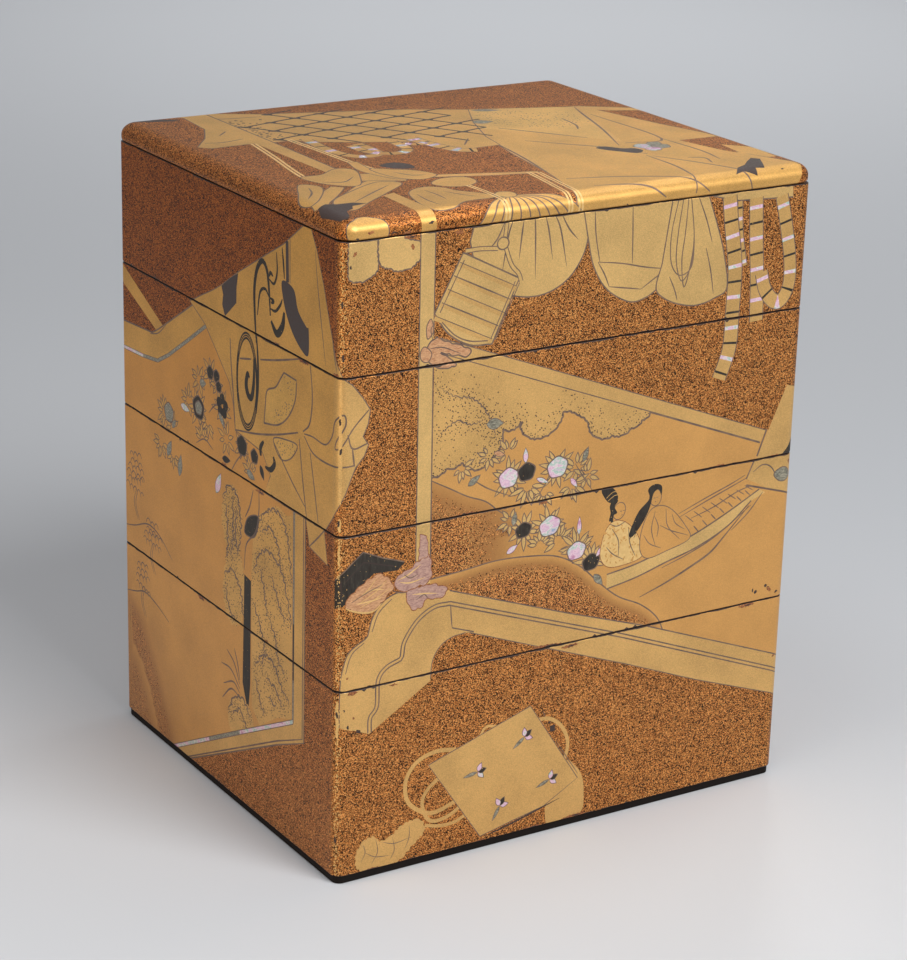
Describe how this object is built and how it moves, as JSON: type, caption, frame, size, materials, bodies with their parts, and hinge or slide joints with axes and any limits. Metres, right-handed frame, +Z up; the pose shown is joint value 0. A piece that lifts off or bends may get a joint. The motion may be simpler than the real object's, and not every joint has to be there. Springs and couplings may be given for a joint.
{
  "type": "stacked food box",
  "caption": "Stacked food box of sprinkled gold lacquer on wood: open tiers that nest by stepped bases under a thick lift-off lid with a rounded shoulder.",
  "frame": {"origin": "middle of the underside of the foot, at the level the box stands on", "axes": "+Z up through the stack to the lid; the wide decorated front faces -Y; the narrower decorated side faces -X"},
  "size_m": [0.227, 0.199, 0.2807],
  "materials": {
    "sprinkled_lacquer": "wood under brown lacquer with dense gold and dark flakes, semi-gloss"
  },
  "bodies": {
    "root": {"lid": "sprinkled_lacquer", "top_tier": "sprinkled_lacquer", "upper_middle_tier": "sprinkled_lacquer", "lower_middle_tier": "sprinkled_lacquer", "bottom_tier": "sprinkled_lacquer"}
  },
  "joints": []
}
